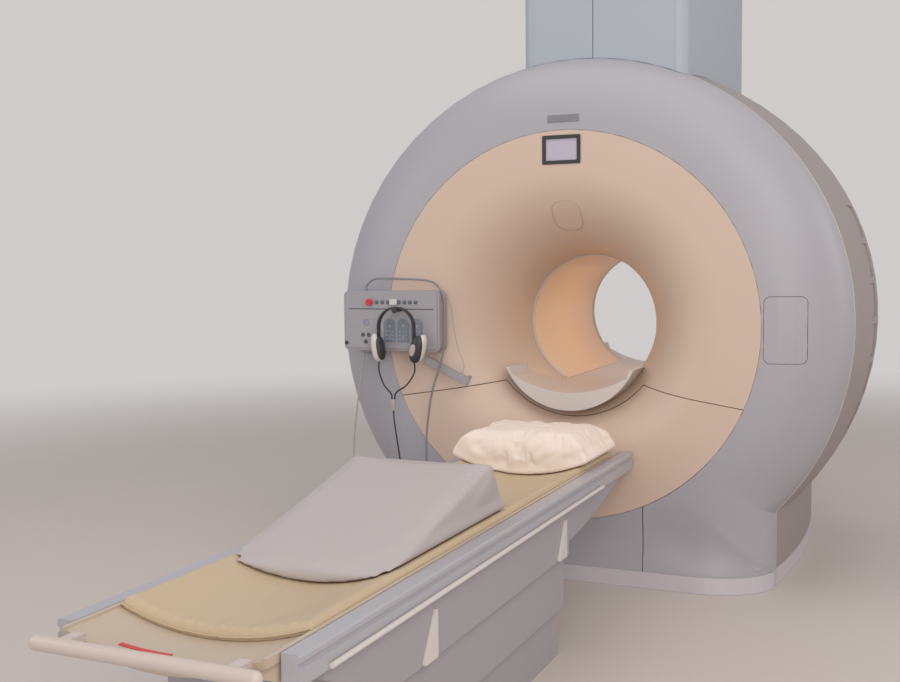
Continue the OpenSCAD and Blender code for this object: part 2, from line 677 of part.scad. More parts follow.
// control panel beside the bore
ctl_front = yf - ctl_d;
module control_panel() {
  color("gainsboro") difference() {
    rounded_slab(ctl_x - ctl_w / 2, ctl_x + ctl_w / 2, ctl_z - ctl_h / 2, ctl_z + ctl_h / 2, ctl_rad, ctl_front, yf);
    stop_hole(stop_r - 4, 20);
  }
}
module stop_hole(r, d) {
  translate([stop_x, ctl_front - face_t - 1, key_z]) rotate([-90, 0, 0]) cylinder(r = r, h = d + face_t + 1);
}
stop_x = ctl_x - 101;
key_z = ctl_z + 82;
module control_face() {
  color("whitesmoke") difference() {
    rounded_slab(ctl_x - ctl_w / 2 + 10, ctl_x + ctl_w / 2 - 10, ctl_z - ctl_h / 2 + 10, ctl_z + ctl_h / 2 - 10,
      ctl_rad - 10, ctl_front - face_t, ctl_front);
    stop_hole(stop_r - 4, 20);
    translate([ctl_x - ctl_w / 2 + 24, ctl_front - face_t - 1, key_z - 32]) cube([ctl_w - 48, 2, 4]);
    for (p = [[-120, -6, 13], [-138, -62, 9], [-110, -62, 9], [-124, -92, 9]])
      translate([ctl_x + p[0], ctl_front - face_t - 1, ctl_z + p[1]]) rotate([-90, 0, 0]) cylinder(r = p[2], h = 3);
  }
}
module stop_button() {
  color("red") translate([stop_x, ctl_front - face_t, key_z]) rotate([90, 0, 0]) {
    translate([0, 0, stop_travel + 1]) cylinder(r = stop_r, h = 8);
    translate([0, 0, -15]) cylinder(r = stop_r - 4.3, h = 16 + stop_travel);
  }
}
module key_row() {
  color("gray") for (i = [0:keys - 1]) translate([stop_x + 34 + i * key_pitch, ctl_front - face_t, key_z])
    rotate([90, 0, 0]) cylinder(r = key_r, h = key_out);
}
module keypads() {
  color("darkgray") for (i = [0:2]) translate([ctl_x - 6 + i * pad_pitch, ctl_front - face_t, ctl_z - 92])
    rotate([90, 0, 0]) linear_extrude(key_out) difference() {
      union() {
        translate([-pad_w / 2, 0]) square([pad_w, pad_h - pad_w / 2]);
        translate([0, pad_h - pad_w / 2]) circle(pad_w / 2);
      }
      for (k = [0:2]) translate([0, 20 + k * 26]) circle(8);
    }
}
hook_x = ctl_x + 48;
hook_z = ctl_z + 50;
band_y = ctl_front - face_t - hook_len + band_w / 2 + band_back;
band_leg = 72;
module headset_hook() {
  color("dimgray") translate([hook_x, ctl_front - face_t, hook_z]) rotate([90, 0, 0]) {
    cylinder(r = hook_r, h = hook_len);
    translate([0, 0, hook_len]) cylinder(r = hook_r + 5, h = 4);
  }
}
module headset_band() {
  zc = hook_z + hook_r - band_r;
  color("black") difference() {
    translate([hook_x, band_y + band_w / 2, zc]) rotate([90, 0, 0]) linear_extrude(band_w) difference() {
      union() {
        circle(band_r + band_t);
        translate([-band_r - band_t, -band_leg]) square([2 * (band_r + band_t), band_leg]);
      }
      circle(band_r);
      translate([-band_r, -band_r - band_t - 1]) square([2 * band_r, band_r + band_t + 1]);
    }
  }
}
module headset_cups() {
  zc = hook_z + hook_r - band_r - band_leg - cup_r;
  color("white") for (s = [-1, 1]) translate([hook_x + s * (band_r + band_t / 2), band_y, zc]) {
    rotate([0, s * 90, 0]) translate([0, 0, -cup_t / 2]) cylinder(r = cup_r, h = cup_t);
    translate([-band_t / 2, -band_w / 2, 0]) cube([band_t, band_w, cup_r]);
  }
}
module side_paddle() {
  color("lightgray") translate([-511, yf, 872]) rotate([0, 24.5, 0]) {
    translate([-110, -36, -17]) cube([220, 12, 34]);
  }
  color("lightgray") difference() {
    translate([-511, yf + 60, 872]) rotate([0, 24.5, 0]) for (x = [-80, 80]) translate([x, 0, 0])
      rotate([90, 0, 0]) cylinder(r = 8, h = 84);
    turned(concat(shifted(funnel_line(0, funnel_d, 18), yf, 1), [[bore_r, yf + funnel_d + 1], [disc_r, yf + funnel_d + 1]]));
  }
}

// hanging cords, each a round tube along its own hand-set route
function unit(v) = v / norm(v);
function at(P, i) = i < 0 ? 2 * P[0] - P[1] : i >= len(P) ? 2 * P[len(P) - 1] - P[len(P) - 2] : P[i];
function curve_at(a, b, c, d, t) = 0.5 * (2 * b + (c - a) * t + (2 * a - 5 * b + 4 * c - d) * t * t
  + (3 * b - a - 3 * c + d) * t * t * t);
function route(P, n) = concat([for (i = [0:len(P) - 2], k = [0:n - 1])
  curve_at(at(P, i - 1), P[i], P[i + 1], at(P, i + 2), k / n)], [P[len(P) - 1]]);
module cord(P, d, n) {
  R = route(P, n);
  m = len(R);
  sides = 8;
  rings = [for (i = [0:m - 1]) let (t = unit(at(R, i + 1) - at(R, i - 1)), u = unit(cross([0, 1, 0], t)),
    v = cross(t, u)) [for (k = [0:sides - 1]) R[i] + d / 2 * (u * cos(360 * k / sides) + v * sin(360 * k / sides))]];
  polyhedron(points = flat(rings), faces = concat(
    [for (i = [0:m - 2], k = [0:sides - 1]) let (a = i * sides + k, b = i * sides + (k + 1) % sides)
      each [[a, b + sides, b], [a, a + sides, b + sides]]],
    [[for (k = [0:sides - 1]) k]], [[for (k = [sides - 1:-1:0]) (m - 1) * sides + k]]));
}
module headset_lead() {
  color("dimgray") {
    cord(lead_main, lead_d, 2);
    cord(lead_left, lead_d, 2);
    cord(lead_right, lead_d, 2);
    translate([lead_main[0][0], lead_main[0][1], lead_main[0][2]]) cylinder(r1 = 7, r2 = 12, h = 50);
  }
}
module panel_cable() { color("slategray") cord(cable_route, cable_d, 2); }
module panel_wire() { color("tan") cord(wire_route, wire_d, 2); }
module panel_lead() { color("gainsboro") cord(pale_route, lead_d, 2); }

// low duct that carries the table's lines to the magnet
module cable_duct() {
  color("slategray") translate([0, yf, 0]) rotate([90, 0, 0])
    linear_extrude(shroud_head + 2 * shroud_step) polygon([[-240, 0], [-90, 0], [-106, 34], [-224, 34]]);
}

// table: three telescoping shrouds round two lift columns
glide_gap = 0.3;
rest_gap = 0.3;
low_x = shroud_x - 2 * shroud_step;
mid_x = shroud_x - shroud_step;
column_y = [for (s = [0.25, 0.72]) ped_head - s * shroud_len];
module open_box(hx, y0, y1, z0, z1, t) {
  difference() {
    translate([-hx, y0, z0]) cube([2 * hx, y1 - y0, z1 - z0]);
    translate([-hx + t, y0 + t, z0 - 1]) cube([2 * (hx - t), y1 - y0 - 2 * t, z1 - z0 + 2]);
  }
}
module table_base() {
  y0 = ped_foot + 2 * shroud_step + shroud_t; y1 = ped_head - 2 * shroud_step - shroud_t;
  hx = low_x - shroud_t;
  color("gray") difference() {
    translate([-hx, y0, 0]) cube([2 * hx, y1 - y0, base_t]);
    for (x = [-1, 1], y = [-1, 1]) translate([x * anchor_x / 2, (ped_head + ped_foot) / 2 + y * anchor_y / 2, -1])
      cylinder(r = anchor_r, h = base_t + 2);
  }
}
module base_shroud() {
  color("silver") open_box(low_x, ped_foot + 2 * shroud_step, ped_head - 2 * shroud_step, 0,
    mid_z + mid_share * lift + 8, shroud_t);
}
module mid_shroud() {
  color("silver") {
    open_box(mid_x, ped_foot + shroud_step, ped_head - shroud_step, mid_z,
      shroud_z + (1 - mid_share) * lift + 6, shroud_t);
    both_sides() for (y = column_y) translate([low_x + glide_gap, y - 60, mid_z])
      cube([shroud_step - shroud_t - glide_gap + 1, 120, 40]);
  }
}
// side view of the moving upper part, as [y, z]
under_z = rail_z - rail_h;
under_foot = foot_y + 150;
room_foot = under_foot + 10;
room_len = yf - 210 - room_foot;
function side_view(o) = [[ped_foot + o, shroud_z], [ped_head - o, shroud_z], [ped_head - o, shroud_z + 43 + o],
  [yf - 640, shroud_z + 62 + o], [yf - 430, shroud_z + 96 + o], [yf - 218, shroud_z + 145 + o], [yf - 120, under_z - 2],
  [yf - 120, under_z], [under_foot, under_z], [under_foot, under_z - 20], [ped_foot - 60 + o, shroud_z + 60 + o],
  [ped_foot + o, shroud_z + 42 + o]];
module side_wall(hx, o) {
  translate([-hx, 0, 0]) rotate([90, 0, 90]) linear_extrude(2 * hx) polygon(side_view(o));
}
module upper_shroud() {
  color("lightgray") difference() {
    side_wall(shroud_x, 0);
    intersection() {
      side_wall(shroud_x - shroud_t, shroud_t);
      translate([-shroud_x, room_foot, 0]) cube([2 * shroud_x, room_len, rail_z]);
    }
    translate([-shroud_x + shroud_t, ped_foot + shroud_t, shroud_z - 1])
      cube([2 * (shroud_x - shroud_t), shroud_len - 2 * shroud_t, 80]);
    translate([-shroud_x + shroud_t, room_foot, under_z - 6]) cube([2 * (shroud_x - shroud_t), room_len, 20]);
  }
}
module lift_columns() {
  color("dimgray") for (y = column_y) translate([0, y, base_t]) difference() {
    translate([-column_w / 2, -column_w / 2, 0]) cube([column_w, column_w, frame_z - 12 - base_t]);
    translate([-column_w / 2 + 8, -column_w / 2 + 8, 8]) cube([column_w - 16, column_w - 16, 1000]);
  }
}
frame_foot = foot_y + 165;
frame_head = yf - 300;
frame_z = top_z - top_t - 15;
module lift_rams() {
  g = 8.5;
  color("silver") for (y = column_y) translate([-column_w / 2 + g, y - column_w / 2 + g, base_t + 14])
    cube([column_w - 2 * g, column_w - 2 * g, frame_z - base_t - 14]);
}
module trough_cut(r, y0, y1) {
  translate([0, y1, top_z + top_r]) rotate([90, 0, 0]) cylinder(r = r, h = y1 - y0, $fn = 200);
}
module table_frame() {
  color("slategray") difference() {
    union() {
      for (x = [-200, 140]) translate([x, frame_foot, frame_z]) cube([60, frame_head - frame_foot, 70]);
      for (y = concat(column_y, [frame_foot + 50, frame_head - 50])) translate([-rail_x + rail_w, y - 50, frame_z])
        cube([2 * (rail_x - rail_w), 100, 60]);
    }
    trough_cut(top_r + top_t, foot_y, head_y);
  }
}
module side_rails() {
  z1 = rail_z; z0 = rail_z - rail_h; x0 = rail_x - rail_w; g = 7;
  color("lightsteelblue") both_sides() translate([0, head_y, 0]) rotate([90, 0, 0]) linear_extrude(top_len - 40)
    polygon([[x0, z0], [rail_x - 5, z0], [rail_x, z0 + 5], [rail_x, z1 - 32], [rail_x - g, z1 - 28], [rail_x - g, z1 - 20],
      [rail_x, z1 - 16], [rail_x, z1 - 5], [rail_x - 5, z1], [x0, z1]]);
}
module grab_rails() {
  color("white") both_sides() translate([rail_x + grab_r, yf - 490, rail_z - rail_h + 14])
    rotate([90, 0, 0]) cylinder(r = grab_r, h = yf - 490 - under_foot);
}
module side_fins() {
  color("white") both_sides() for (y = [ped_foot + 329, ped_head - 51])
    translate([shroud_x, y, shroud_z + 4]) rotate([90, 0, 90]) linear_extrude(fin_t)
      polygon([[0, 0], [0, fin_h], [-6, fin_h], [-fin_w, 6], [-fin_w, 0]]);
}
// tabletop: one even trough with flat lips over the rails
function arc(r, a, n) = [for (i = [0:n]) let (t = -a + 2 * a * i / n) [r * sin(t), top_z + top_r - r * cos(t)]];
top_a = asin(top_x / (top_r + top_t));
module tabletop() {
  o = arc(top_r + top_t, top_a, 24);
  i = arc(top_r, asin((top_x - 12) / top_r), 24);
  color("cornsilk") translate([0, head_y, 0]) rotate([90, 0, 0]) linear_extrude(top_len)
    polygon(concat(o, [[top_x, i[24][1] + 6]], [[top_x - 12, i[24][1] + 6]], rev(i), [[-top_x + 12, i[24][1] + 6],
      [-top_x, i[24][1] + 6]]));
}
module mattress() {
  a = asin(mat_x / top_r);
  color("khaki") translate([0, head_y - 90, 0]) rotate([90, 0, 0]) linear_extrude(top_len - 270)
    polygon(concat(arc(top_r - rest_gap, a, 24), rev(arc(top_r - mat_t, a - 0.4, 24))));
}
// rounded cream end below the handle
module foot_end_cap() {
  color("cornsilk") difference() {
    hull() {
      translate([-top_x, foot_y + 60, rail_z - rail_h]) cube([2 * top_x, 60, rail_h - 4]);
      translate([-handle_x + 40, foot_y - 24, rail_z - 34]) cube([2 * handle_x - 80, 24, 22]);
    }
    trough_cut(top_r + top_t, foot_y - 80, foot_y + 200);
    translate([-rail_x, foot_y + 40, 0]) cube([rail_w + 2, 200, 1000]);
    translate([rail_x - rail_w - 2, foot_y + 40, 0]) cube([rail_w + 2, 200, 1000]);
  }
}
module table_handle() {
  y = foot_y - handle_out; z = rail_z - 17;
  color("cornsilk") {
    translate([-handle_x, y, z]) rotate([0, 90, 0]) cylinder(r = handle_r, h = 2 * handle_x);
    for (s = [-1, 1]) {
      translate([s * handle_x, y, z]) sphere(handle_r);
      translate([s * (handle_x - 60) - 15, y, z - 11]) cube([30, handle_out, 22]);
    }
  }
}
mat_top = top_z + mat_t;
module wedge_cushion() {
  color("gainsboro") difference() {
    translate([-wedge_x, 0, 0]) rotate([90, 0, 90]) linear_extrude(2 * wedge_x)
      polygon([[yf - wedge_at, mat_top], [yf - wedge_at + wedge_len + wedge_back, mat_top],
        [yf - wedge_at + wedge_len + 12, mat_top + wedge_h], [yf - wedge_at + wedge_len - 12, mat_top + wedge_h],
        [yf - wedge_at, mat_top + 34]]);
    translate([0, yf, top_z + top_r]) rotate([90, 0, 0]) difference() {
      cylinder(r = top_r + 200, h = 2600, $fn = 200);
      translate([0, 0, -1]) cylinder(r = top_r - mat_t - rest_gap, h = 2602, $fn = 200);
    }
  }
}
module pillow() {
  color("mistyrose") intersection() {
    rounded_slab(-270, 270, mat_top, mat_top + pillow_t + 20, 60, head_y - 90 - pillow_len, head_y - 90);
    translate([0, yf, top_z + top_r]) rotate([90, 0, 0]) cylinder(r = top_r - mat_t - rest_gap, h = 1200, $fn = 200);
  }
}

floor_frame();
cryostat();
gradient_coil();
body_coil();
bore_liner();
bore_rim();
front_ring_cover();
lower_front_cover();
access_panels();
funnel_cover();
lower_funnel_cover();
side_trims();
side_cover_right();
side_cover_left();
rear_ring_cover();
rear_funnel_cover();
plinth_front();
plinth_sides();
plinth_rear();
tower_front_left();
tower_front_right();
tower_side_right();
tower_side_left();
tower_rear();
tower_cap();
service_neck();
display_bezel();
display_screen();
laser_window();
bridge();
control_panel();
control_face();
stop_button();
key_row();
keypads();
headset_hook();
headset_band();
headset_cups();
headset_lead();
panel_cable();
panel_wire();
panel_lead();
side_paddle();
cable_duct();
table_base();
base_shroud();
mid_shroud();
upper_shroud();
lift_columns();
lift_rams();
table_frame();
side_rails();
grab_rails();
side_fins();
tabletop();
foot_end_cap();
table_handle();
mattress();
wedge_cushion();
pillow();
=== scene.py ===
import json
import math
import bpy
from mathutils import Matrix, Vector, noise as bl_noise


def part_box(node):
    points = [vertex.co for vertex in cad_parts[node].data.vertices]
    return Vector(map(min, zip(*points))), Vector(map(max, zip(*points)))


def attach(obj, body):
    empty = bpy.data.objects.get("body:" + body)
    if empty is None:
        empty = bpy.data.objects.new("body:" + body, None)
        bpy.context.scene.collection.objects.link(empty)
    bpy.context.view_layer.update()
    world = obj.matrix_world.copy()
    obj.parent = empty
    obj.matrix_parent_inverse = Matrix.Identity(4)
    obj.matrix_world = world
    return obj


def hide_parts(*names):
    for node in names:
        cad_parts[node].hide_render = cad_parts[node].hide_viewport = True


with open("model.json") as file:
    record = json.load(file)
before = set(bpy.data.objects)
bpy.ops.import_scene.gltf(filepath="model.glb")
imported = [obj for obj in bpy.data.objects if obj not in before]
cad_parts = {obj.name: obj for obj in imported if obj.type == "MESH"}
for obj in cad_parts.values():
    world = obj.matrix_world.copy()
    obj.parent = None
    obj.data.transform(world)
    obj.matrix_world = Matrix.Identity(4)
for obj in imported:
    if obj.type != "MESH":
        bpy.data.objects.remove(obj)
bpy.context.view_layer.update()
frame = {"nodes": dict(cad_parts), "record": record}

nodes = frame["nodes"]
scene = bpy.context.scene
CARRIAGE = "table_carriage"
YF = -0.875  # front plane of the covers
AXIS_H = 1.07  # bore axis above the floor

# camera, solved from the photograph
CAM_AT = (1.4726, -5.3117, 1.34174)
CAM_TURN = (1.5003416, 0.0100394, 0.4195006)
CAM_LENS, CAM_FILM, CAM_REACH = 44.848, 36, 60
cam_data = bpy.data.cameras.new("camera")
cam_data.lens = CAM_LENS
cam_data.sensor_width = CAM_FILM
cam_data.clip_end = CAM_REACH
cam = bpy.data.objects.new("camera", cam_data)
cam.location = CAM_AT
cam.rotation_euler = CAM_TURN
scene.collection.objects.link(cam)
scene.camera = cam
scene.view_settings.view_transform = "Standard"

# materials
COAT_ROUGH = 0.15
CLOUD_SIZE, NOISE_DETAIL = 2.3, 3
BUMP_DEPTH = 0.001


def material(name, color, rough=0.5, metal=0.0, coat=0.0, bevel=0.003, grain=0.0, grain_size=400.0, tint=0.0,
             sheen=0.0):
    """plain surface with softened edges; tint clouds its colour, grain roughens it finely"""
    m = bpy.data.materials.new(name)
    m.use_nodes = True
    nt = m.node_tree
    n = nt.nodes
    b = n["Principled BSDF"]
    b.inputs["Base Color"].default_value = (*color, 1)
    b.inputs["Roughness"].default_value = rough
    b.inputs["Metallic"].default_value = metal
    b.inputs["Coat Weight"].default_value = coat
    b.inputs["Coat Roughness"].default_value = COAT_ROUGH
    b.inputs["Specular IOR Level"].default_value = 0.5
    b.inputs["Sheen Weight"].default_value = sheen
    normal = None
    if bevel:
        e = n.new("ShaderNodeBevel")
        e.samples = 4
        e.inputs["Radius"].default_value = bevel
        normal = e.outputs["Normal"]
    coord = n.new("ShaderNodeTexCoord").outputs["Object"]
    if tint:
        cloud = n.new("ShaderNodeTexNoise")
        cloud.inputs["Scale"].default_value = CLOUD_SIZE
        cloud.inputs["Detail"].default_value = NOISE_DETAIL
        nt.links.new(coord, cloud.inputs["Vector"])
        ramp = n.new("ShaderNodeMix")
        ramp.data_type = "RGBA"
        nt.links.new(cloud.outputs["Fac"], ramp.inputs["Factor"])
        ramp.inputs[6].default_value = (*[c * (1 - tint) for c in color], 1)
        ramp.inputs[7].default_value = (*[min(1, c * (1 + tint)) for c in color], 1)
        nt.links.new(ramp.outputs[2], b.inputs["Base Color"])
    if grain:
        fine = n.new("ShaderNodeTexNoise")
        fine.inputs["Scale"].default_value = grain_size
        fine.inputs["Detail"].default_value = NOISE_DETAIL
        nt.links.new(coord, fine.inputs["Vector"])
        bump = n.new("ShaderNodeBump")
        bump.inputs["Strength"].default_value = grain
        bump.inputs["Distance"].default_value = BUMP_DEPTH
        nt.links.new(fine.outputs["Fac"], bump.inputs["Height"])
        if normal:
            nt.links.new(normal, bump.inputs["Normal"])
        normal = bump.outputs["Normal"]
    if normal:
        nt.links.new(normal, b.inputs["Normal"])
    return m


LOOKS = {
    "dark_steel": ((0.09, 0.09, 0.10), dict(rough=0.55, metal=0.6)),
    "vessel_steel": ((0.42, 0.43, 0.45), dict(rough=0.4, metal=0.8)),
    "coil_resin": ((0.55, 0.36, 0.18), dict(rough=0.5)),
    "bore_beige": ((0.86, 0.64, 0.43), dict(rough=0.38, coat=0.15, tint=0.03)),
    "handle_white": ((0.56, 0.47, 0.42), dict(rough=0.35, coat=0.15, grain=0.04)),
    "bridge_white": ((0.62, 0.55, 0.51), dict(rough=0.32, coat=0.2, tint=0.02)),
    "pad_blue": ((0.19, 0.21, 0.25), dict(rough=0.45, bevel=0.001, grain=0.08)),
    "window_glass": ((0.60, 0.455, 0.35), dict(rough=0.16, coat=0.5, tint=0.02)),
    "warm_white": ((0.62, 0.57, 0.53), dict(rough=0.3, coat=0.2)),
    "cover_grey": ((0.37, 0.355, 0.38), dict(rough=0.42, grain=0.05, tint=0.02)),
    "funnel_peach": ((0.60, 0.455, 0.36), dict(rough=0.42, grain=0.05, tint=0.025)),
    "trim_bright": ((0.48, 0.45, 0.43), dict(rough=0.35, metal=0.2)),
    "side_tan": ((0.30, 0.255, 0.245), dict(rough=0.5, grain=0.1, tint=0.03)),
    "plinth_metal": ((0.58, 0.54, 0.57), dict(rough=0.4, metal=0.2, grain=0.04)),
    "tower_pale": ((0.37, 0.40, 0.44), dict(rough=0.5, grain=0.06, tint=0.02)),
    "dark_plastic": ((0.035, 0.033, 0.035), dict(rough=0.45, bevel=0.0015, grain=0.1)),
    "screen_glass": ((0.48, 0.44, 0.52), dict(rough=0.12, coat=0.6, bevel=0.001)),
    "panel_grey": ((0.345, 0.325, 0.34), dict(rough=0.45, grain=0.08, tint=0.02)),
    "signal_red": ((0.62, 0.02, 0.015), dict(rough=0.3, coat=0.3)),
    "key_grey": ((0.13, 0.135, 0.15), dict(rough=0.5, bevel=0.001)),
    "shroud_grey": ((0.34, 0.315, 0.335), dict(rough=0.42, grain=0.06, tint=0.02)),
    "ram_metal": ((0.6, 0.6, 0.62), dict(rough=0.3, metal=1.0)),
    "rail_blue": ((0.43, 0.42, 0.445), dict(rough=0.36, metal=0.15, grain=0.04)),
    "cream_top": ((0.51, 0.41, 0.31), dict(rough=0.32, coat=0.2, tint=0.02)),
    "yellow_vinyl": ((0.52, 0.40, 0.255), dict(rough=0.42, bevel=0, grain=0.35, grain_size=260, tint=0.05)),
    "wedge_grey": ((0.45, 0.40, 0.39), dict(rough=0.45, bevel=0, grain=0.3, grain_size=300, tint=0.04)),
    "pillow_cloth": ((0.80, 0.68, 0.59), dict(rough=0.85, bevel=0, grain=0.5, grain_size=900, tint=0.03,
                                              sheen=0.2)),
    "dark_cord": ((0.03, 0.03, 0.032), dict(rough=0.5, bevel=0)),
    "grey_cord": ((0.22, 0.225, 0.24), dict(rough=0.45, bevel=0)),
    "pale_cord": ((0.42, 0.37, 0.33), dict(rough=0.5, bevel=0)),
}
SLOTS = {name: material(name, color, **how) for name, (color, how) in LOOKS.items()}
slot_of = {s["node"]: s["material_slot"] for s in frame["record"]["subparts"]}
# nodes whose look differs from their slot's
LOOK_OF = {"keypads": "pad_blue", "control_face": "panel_grey", "control_panel": "panel_grey",
           "table_handle": "handle_white", "bridge": "bridge_white"}
for name, obj in nodes.items():
    obj.data.materials.clear()
    obj.data.materials.append(SLOTS[LOOK_OF.get(name, slot_of[name])])

# moulded covers are shaded smooth, with their real edges kept
WELD, REAL_EDGE = 0.00005, math.radians(28)
MOULDED = ("front_ring_cover", "rear_ring_cover", "lower_front_cover", "side_cover_right",
           "side_cover_left", "funnel_cover", "lower_funnel_cover", "rear_funnel_cover")


def smooth_tree():
    g = bpy.data.node_groups.new("smooth_skin", "GeometryNodeTree")
    g.interface.new_socket("Geometry", in_out="INPUT", socket_type="NodeSocketGeometry")
    g.interface.new_socket("Geometry", in_out="OUTPUT", socket_type="NodeSocketGeometry")
    a, z = g.nodes.new("NodeGroupInput"), g.nodes.new("NodeGroupOutput")
    drop = g.nodes.new("GeometryNodeRemoveAttribute")
    drop.inputs["Name"].default_value = "custom_normal"
    weld = g.nodes.new("GeometryNodeMergeByDistance")
    weld.inputs["Distance"].default_value = WELD
    faces = g.nodes.new("GeometryNodeSetShadeSmooth")
    edges = g.nodes.new("GeometryNodeSetShadeSmooth")
    edges.domain = "EDGE"
    angle = g.nodes.new("GeometryNodeInputMeshEdgeAngle")
    small = g.nodes.new("FunctionNodeCompare")
    small.operation = "LESS_THAN"
    small.inputs["B"].default_value = REAL_EDGE
    g.links.new(a.outputs[0], drop.inputs["Geometry"])
    g.links.new(drop.outputs[0], weld.inputs["Geometry"])
    g.links.new(weld.outputs[0], faces.inputs["Geometry"])
    g.links.new(faces.outputs[0], edges.inputs["Geometry"])
    g.links.new(angle.outputs["Unsigned Angle"], small.inputs["A"])
    g.links.new(small.outputs[0], edges.inputs["Shade Smooth"])
    g.links.new(edges.outputs[0], z.inputs[0])
    return g


SMOOTH = smooth_tree()
for name in MOULDED:
    nodes[name].modifiers.new("smooth", "NODES").node_group = SMOOTH

# helpers for added pieces
BOX_FACES = [(0, 1, 3, 2), (4, 6, 7, 5), (0, 4, 5, 1), (2, 3, 7, 6), (0, 2, 6, 4), (1, 5, 7, 3)]
BEVEL_FROM, SPLIT_FROM = math.radians(40), math.radians(35)


def add(name, data, slot, body, mat=None):
    o = bpy.data.objects.new(name, data)
    scene.collection.objects.link(o)
    data.materials.append(mat or SLOTS[slot])
    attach(o, body)
    return o


def solid(name, verts, faces, slot, body, smooth=True, bevel=0.0, mat=None):
    me = bpy.data.meshes.new(name)
    me.from_pydata(verts, [], faces)
    me.update()
    if smooth:
        me.shade_smooth()
    o = add(name, me, slot, body, mat)
    if bevel:
        b = o.modifiers.new("bevel", "BEVEL")
        b.width = bevel
        b.segments = 3
        b.limit_method = "ANGLE"
        b.angle_limit = BEVEL_FROM
    return o


def block(name, lo, hi, slot, body, bevel=0.001, mat=None):
    v = [(x, y, z) for x in (lo[0], hi[0]) for y in (lo[1], hi[1]) for z in (lo[2], hi[2])]
    return solid(name, v, BOX_FACES, slot, body, False, bevel, mat)


def split_edges(o):
    o.modifiers.new("edge", "EDGE_SPLIT").split_angle = SPLIT_FROM


def turned(name, profile, origin, slot, body, steps=24):
    """closed profile of (radius, height) turned about the upright through origin"""
    v, f = [], []
    n = len(profile)
    for k in range(steps):
        a = 2 * math.pi * k / steps
        v += [(origin[0] + r * math.cos(a), origin[1] + r * math.sin(a), origin[2] + z) for r, z in profile]
    for k in range(steps):
        for i in range(n - 1):
            a, b = k * n + i, ((k + 1) % steps) * n + i
            f.append((a, b, b + 1, a + 1))
    f += [tuple(k * n for k in reversed(range(steps))), tuple(k * n + n - 1 for k in range(steps))]
    o = solid(name, v, f, slot, body)
    split_edges(o)
    return o


def disc_set(name, places, profile, slot, steps=20, mat=None):
    """profile of (radius, height) turned about -y at each of the places, all in one mesh"""
    v, f = [], []
    n = len(profile)
    for x, y, z in places:
        base = len(v)
        for k in range(steps):
            a = 2 * math.pi * k / steps
            v += [(x + r * math.cos(a), y - h, z + r * math.sin(a)) for r, h in profile]
        for k in range(steps):
            for i in range(n - 1):
                a, b = base + k * n + i, base + ((k + 1) % steps) * n + i
                f.append((a, a + 1, b + 1, b))
        f.append(tuple(base + k * n for k in range(steps)))
        f.append(tuple(base + k * n + n - 1 for k in reversed(range(steps))))
    split_edges(solid(name, v, f, slot, "scanner", mat=mat))


def closed_sheet(name, nx, ny, top, under, slot, body, mat=None):
    """two skins over a grid of (u, v) in -1..1, joined round the rim"""
    v, f = [], []
    for skin in (top, under):
        for j in range(ny + 1):
            for i in range(nx + 1):
                v.append(skin(2 * i / nx - 1, 2 * j / ny - 1))
    n = nx + 1
    off = n * (ny + 1)
    for j in range(ny):
        for i in range(nx):
            a = j * n + i
            f.append((a, a + 1, a + n + 1, a + n))
            f.append((off + a, off + a + n, off + a + n + 1, off + a + 1))
    rim = [i for i in range(n)] + [j * n + nx for j in range(1, ny + 1)]
    rim += [ny * n + i for i in reversed(range(nx))] + [j * n for j in reversed(range(1, ny))]
    for a, b in zip(rim, rim[1:] + rim[:1]):
        f.append((b, a, off + a, off + b))
    return solid(name, v, f, slot, body, mat=mat)


def round_bar(name, pts, r, fineness, slot, body, closed=False, mat=None):
    """round bar of radius r along pts"""
    cu = bpy.data.curves.new(name, "CURVE")
    cu.dimensions = "3D"
    sp = cu.splines.new("POLY")
    sp.points.add(len(pts) - 1)
    for p, at in zip(sp.points, pts):
        p.co = (*at, 1)
    sp.use_cyclic_u = closed
    cu.bevel_depth = r
    cu.bevel_resolution = fineness
    cu.use_fill_caps = not closed
    return add(name, cu, slot, body, mat)


# hanging cords: the routes are those of the solids, in millimetres, and end at the outlet box
LEAD_D, CABLE_D, WIRE_D = 0.007, 0.009, 0.004
LEAD_MAIN = [(-728, -996, 700), (-724, -996, 650), (-705, -994, 520), (-690, -985, 400), (-655, -970, 260),
             (-590, -950, 160), (-515, -925, 110), (-480, -905, 75), (-480, -905, 44)]
LEAD_LEFT = [(-792, -1002, 915), (-792, -1002, 870), (-770, -1000, 810), (-738, -998, 775),
             (-734, -996, 750)]
LEAD_RIGHT = [(-622, -1002, 915), (-622, -1002, 870), (-660, -1000, 815), (-712, -998, 780),
              (-722, -996, 750)]
CABLE = [(-895, -915, 1218), (-895, -915, 1227), (-895, -915, 1238), (-866, -916, 1265),
         (-820, -917, 1272), (-719, -920, 1270), (-590, -926, 1262), (-538, -930, 1236), (-510, -934, 1180),
         (-508, -935, 1100), (-508, -935, 1010), (-524, -935, 920), (-569, -933, 789), (-597, -929, 640),
         (-606, -925, 500), (-595, -920, 350), (-545, -912, 210), (-470, -906, 130), (-430, -905, 80),
         (-430, -905, 44)]
WIRE = [(-522.5, -905, 1190), (-505, -905, 1186), (-490, -905, 1150), (-480, -905, 1080), (-462, -905, 984),
        (-436, -905, 915), (-432, -905, 886), (-443.9, -905, 860.1)]
PALE = [(-912, -915, 956), (-912, -915, 930), (-930, -915, 830), (-954, -915, 680), (-973, -915, 497),
        (-960, -915, 350), (-880, -915, 220), (-740, -912, 150), (-600, -908, 115), (-540, -905, 85),
        (-540, -905, 44)]


